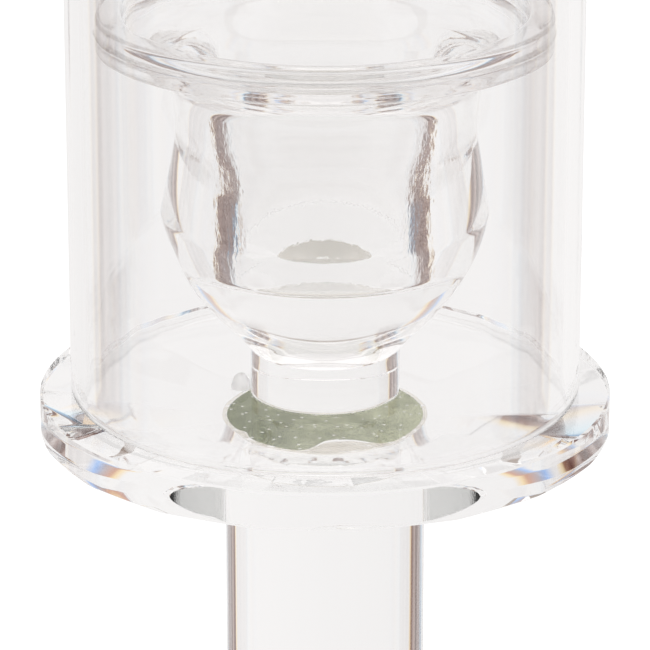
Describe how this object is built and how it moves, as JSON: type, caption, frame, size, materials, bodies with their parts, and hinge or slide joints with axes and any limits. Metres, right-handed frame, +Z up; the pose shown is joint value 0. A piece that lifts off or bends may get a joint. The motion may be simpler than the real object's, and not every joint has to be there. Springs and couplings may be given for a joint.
{
  "type": "hurricane candlestick",
  "caption": "Clear cut-glass candlestick: a faceted foot, a solid round stem, a faceted plate with a glued candle cup, and a loose glass chimney that lifts off.",
  "frame": {"origin": "on the ground, under the axis of the stem", "axes": "+Z up along the stem's axis; -Y towards the unfilled place in the glue at the top of the stem; the glue bead beside the cup is on -X"},
  "size_m": [0.12, 0.12, 0.4163],
  "materials": {
    "shade_glass": "clear drawn glass, fire-polished lips",
    "cup_glass": "clear pressed glass, polished outside, chill-marked inside the well",
    "crystal_glass": "clear cut crystal with polished flat facets and a faint green tint",
    "clear_glue": "cured clear ultraviolet glue",
    "clear_bumper": "soft clear polyurethane"
  },
  "bodies": {
    "stand": {"candle_cup": "cup_glass", "cup_glue_film": "clear_glue", "glue_bead": "clear_glue", "shade_plate": "crystal_glass", "stem_top_glue_film": "clear_glue", "stem_rod": "crystal_glass", "stem_base_glue_film": "clear_glue", "base_disc": "crystal_glass", "bumper_1": "clear_bumper", "bumper_2": "clear_bumper", "bumper_3": "clear_bumper", "bumper_4": "clear_bumper"},
    "shade": {"hurricane_shade": "shade_glass"}
  },
  "joints": [
    {"name": "shade_lift", "type": "slide", "parent": "stand", "child": "shade", "axis": [0, 0, 1], "range_m": [0, 0.08]}
  ]
}
